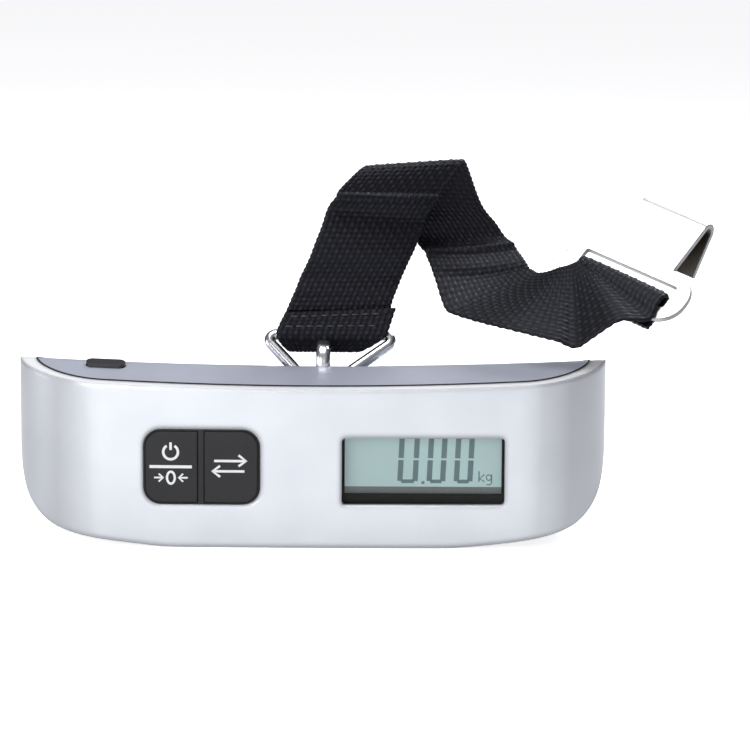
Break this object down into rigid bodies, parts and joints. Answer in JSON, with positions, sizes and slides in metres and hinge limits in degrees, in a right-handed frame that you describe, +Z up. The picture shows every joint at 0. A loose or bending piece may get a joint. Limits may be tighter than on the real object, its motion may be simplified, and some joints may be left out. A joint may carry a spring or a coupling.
{
  "type": "digital luggage scale",
  "caption": "Hand-held digital luggage scale: bar-shaped housing with two keys and a display, an eye with triangular ring on top, a webbing strap and a bent-plate hook.",
  "frame": {"origin": "middle of the base in plan, on the flat face it stands on", "axes": "+X along the bar, display to the right; -Y is the front with keys and display; +Z up towards the eye and strap"},
  "size_m": [0.1673, 0.0444, 0.091],
  "materials": {
    "shell_silver": "satin silver lacquer on moulded plastic, fine metallic flake",
    "deck_silver": "satin blue-grey silver lacquer",
    "black_rubber": "matte",
    "screw_steel": "zinc plated",
    "clear_lens": "clear acrylic",
    "black_plastic": "fine moulded texture",
    "lcd_glass": "polarised glass",
    "lcd_back": "green-grey reflective polariser",
    "key_black": "satin moulded plastic",
    "board_green": "solder mask",
    "cell_steel": "nickel plated",
    "contact_nickel": "nickel plated spring strip",
    "lead_red": "PVC insulation",
    "lead_black": "PVC insulation",
    "button_black": "moulded",
    "beam_aluminium": "machined",
    "gauge_foil": "polyimide foil",
    "bracket_steel": "zinc plated",
    "bright_chrome": "bright chrome plate",
    "bush_nylon": "natural nylon",
    "webbing_black": "woven polypropylene webbing",
    "hook_nickel": "bright nickel plate on stamped steel"
  },
  "bodies": {
    "housing": {"front_shell": "shell_silver", "rear_shell": "shell_silver", "deck_cover": "deck_silver", "deck_gasket": "black_rubber", "housing_screws": "screw_steel", "window_lens": "clear_lens", "lcd_holder": "black_plastic", "lcd_front_glass": "lcd_glass", "lcd_rear_glass": "lcd_back", "zebra_connector": "black_rubber", "key_frame": "key_black", "switch_bodies": "black_plastic", "circuit_board": "board_green", "controller_blob": "black_plastic", "board_components": "black_plastic", "board_screws": "screw_steel", "battery_holder": "black_plastic", "coin_cell": "cell_steel", "battery_contact_negative": "contact_nickel", "battery_contact_positive": "contact_nickel", "battery_lead_red": "lead_red", "battery_lead_black": "lead_black", "door_hinge_pin": "screw_steel", "release_spring": "screw_steel", "load_cell_beam": "beam_aluminium", "strain_gauges": "gauge_foil", "gauge_wires": "lead_red", "load_cell_bracket": "bracket_steel", "load_cell_screws": "screw_steel", "bracket_screws": "screw_steel", "guide_bush": "bush_nylon"},
    "power_key": {"power_key": "key_black", "power_switch_plunger": "key_black"},
    "unit_key": {"unit_key": "key_black", "unit_switch_plunger": "key_black"},
    "release_button": {"door_release_button": "button_black"},
    "battery_door": {"battery_door": "shell_silver"},
    "eye": {"eye_bolt": "bright_chrome", "eye_washer": "screw_steel", "eye_nut": "screw_steel"},
    "ring": {"triangle_ring": "bright_chrome"},
    "strap_lower": {"strap_lower": "webbing_black"},
    "strap_upper": {"strap_upper": "webbing_black"},
    "hook": {"hook": "hook_nickel"}
  },
  "joints": [
    {"name": "power_key_press", "type": "slide", "parent": "housing", "child": "power_key", "axis": [0, 1, 0], "range_m": [0, 0.0004], "stiffness_N_per_m": 1500, "springref_m": -0.0002},
    {"name": "unit_key_press", "type": "slide", "parent": "housing", "child": "unit_key", "axis": [0, 1, 0], "range_m": [0, 0.0004], "stiffness_N_per_m": 1500, "springref_m": -0.0002},
    {"name": "release_press", "type": "slide", "parent": "housing", "child": "release_button", "axis": [0, 0, -1], "range_m": [0, 0.001], "stiffness_N_per_m": 400, "springref_m": -0.001, "deforming": ["release_spring"]},
    {"name": "door_open", "type": "hinge", "parent": "housing", "child": "battery_door", "pos_m": [-0.042, 0.0132, 0.0086], "axis": [-1, 0, 0], "range_deg": [0, 95]},
    {"name": "load_pull", "type": "slide", "parent": "housing", "child": "eye", "axis": [0, 0, 1], "range_m": [0, 0.0003], "stiffness_N_per_m": 60000, "deforming": ["load_cell_beam"]},
    {"name": "ring_swing", "type": "hinge", "parent": "eye", "child": "ring", "pos_m": [0.0024, 0.0046, 0.03705], "axis": [-1, 0, 0], "range_deg": [0, 20]},
    {"name": "strap_swing", "type": "hinge", "parent": "ring", "child": "strap_lower", "pos_m": [0.004, 0.01116, 0.04715], "axis": [-1, 0, 0], "range_deg": [-5, 20]},
    {"name": "strap_fold", "type": "hinge", "parent": "strap_lower", "child": "strap_upper", "pos_m": [0.02405, 0.01874, 0.0881], "axis": [0.9642, 0.2639, 0.0278], "range_deg": [0, 7]},
    {"name": "hook_swing", "type": "hinge", "parent": "strap_upper", "child": "hook", "pos_m": [0.07201, 0.00246, 0.05873], "axis": [0.7836, -0.5574, -0.2742], "range_deg": [-35, 0]}
  ]
}
